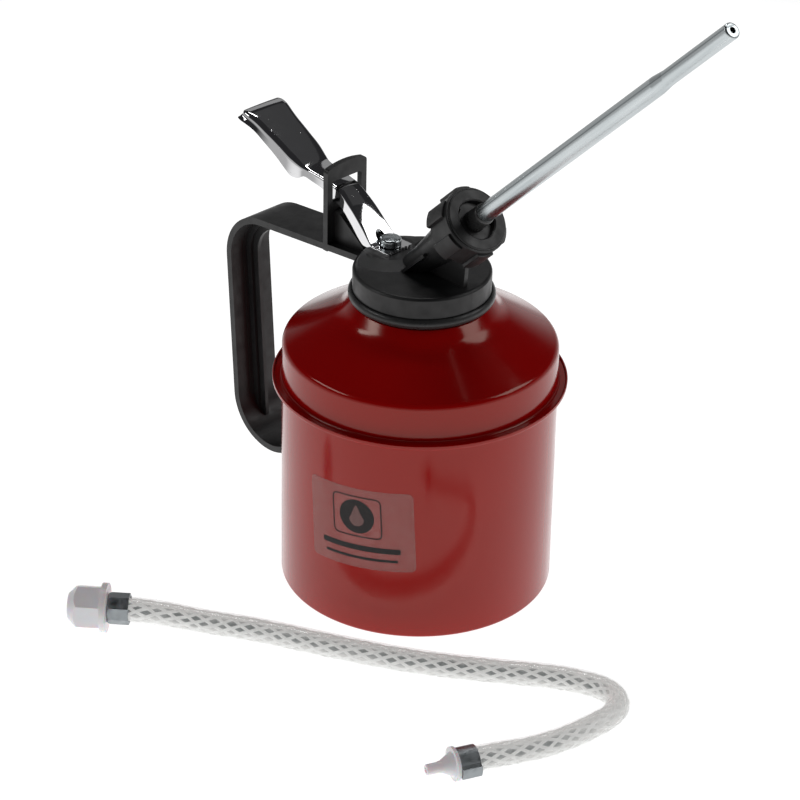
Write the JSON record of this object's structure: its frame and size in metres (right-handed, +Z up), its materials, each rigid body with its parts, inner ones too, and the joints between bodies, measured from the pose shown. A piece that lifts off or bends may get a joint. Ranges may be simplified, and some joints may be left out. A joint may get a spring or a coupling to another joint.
{
  "type": "fluid transfer pump",
  "caption": "Hand pump oil can: round steel can with a screw-on pump head, thumb lever, loop handle, straight angled spout in a gland nut, and a loose flexible spout.",
  "frame": {"origin": "centre of the can's base, on the surface it stands on", "axes": "+Z up along the can, +X towards the spout, handle towards -X"},
  "size_m": [0.2009, 0.1571, 0.229],
  "materials": {
    "red_enamel": "gloss enamel",
    "tinned_steel": "dull tinned",
    "zinc_steel": "bright zinc plated",
    "spring_steel": "drawn wire",
    "ball_steel": "polished",
    "crimped_steel": "crimped zinc strip",
    "chrome": "bright chrome plate",
    "brass": "turned",
    "black_nylon": "satin moulded",
    "black_rubber": "smooth",
    "clear_film": "clear film",
    "clear_hose": "clear hose with braid",
    "white_nylon": "natural translucent"
  },
  "bodies": {
    "can": {"can_body": "red_enamel", "can_shoulder": "red_enamel", "neck_ring": "tinned_steel", "label_film": "clear_film"},
    "neck_lift": {"neck_gasket": "black_rubber"},
    "head": {"pump_cover": "black_nylon", "pump_barrel": "tinned_steel", "rod_seal": "black_rubber", "inlet_seat": "brass", "inlet_cage": "brass", "suction_tube": "zinc_steel", "strainer": "brass", "return_spring": "spring_steel", "outlet_seat": "brass", "outlet_cage": "brass"},
    "lever": {"lever": "chrome"},
    "plunger": {"piston_rod": "zinc_steel", "piston": "brass", "piston_seal": "black_rubber"},
    "inlet_valve": {"inlet_ball": "ball_steel"},
    "outlet_valve": {"outlet_ball": "ball_steel"},
    "gland": {"gland_nut": "black_nylon"},
    "rigid_spout": {"spout_tube": "zinc_steel", "spout_ferrule": "black_rubber", "spout_washer": "black_nylon"},
    "flexible_spout": {"hose_tube": "clear_hose", "hose_coupling": "white_nylon", "hose_ferrule_rear": "crimped_steel", "hose_ferrule_front": "crimped_steel", "hose_nozzle": "white_nylon"}
  },
  "joints": [
    {"name": "head_lift", "type": "slide", "parent": "can", "child": "neck_lift", "axis": [0, 0, 1], "range_m": [0, 0.125]},
    {"name": "head_unscrew", "type": "hinge", "parent": "neck_lift", "child": "head", "pos_m": [0, 0, 0.103], "axis": [0, 0, 1], "range_deg": [0, 540]},
    {"name": "lever_press", "type": "hinge", "parent": "head", "child": "lever", "pos_m": [-0.0353, 0, 0.1213], "axis": [0, -1, 0], "range_deg": [0, 20]},
    {"name": "plunger_lift", "type": "slide", "parent": "head", "child": "plunger", "axis": [0, 0, 1], "range_m": [0, 0.00883], "stiffness_N_per_m": 150, "springref_m": -0.008, "deforming": ["return_spring"]},
    {"name": "inlet_valve_lift", "type": "slide", "parent": "head", "child": "inlet_valve", "axis": [0, 0, 1], "range_m": [0, 0.0015]},
    {"name": "outlet_valve_lift", "type": "slide", "parent": "head", "child": "outlet_valve", "axis": [0.7133, 0, 0.7009], "range_m": [0, 0.0015]},
    {"name": "gland_turn", "type": "hinge", "parent": "head", "child": "gland", "pos_m": [0.023, 0, 0.1351], "axis": [0.7133, 0, 0.7009], "continuous": true},
    {"name": "spout_swivel", "type": "hinge", "parent": "head", "child": "rigid_spout", "pos_m": [0.023, 0, 0.1351], "axis": [0.7133, 0, 0.7009], "continuous": true},
    {"name": "flexible_spout_lift", "type": "slide", "parent": "can", "child": "flexible_spout", "axis": [0, 0, 1], "range_m": [0, 0.2]}
  ],
  "couplings": [
    {"joint": "lever_press", "follows": "plunger_lift", "rad_per_m": 39.526}
  ]
}
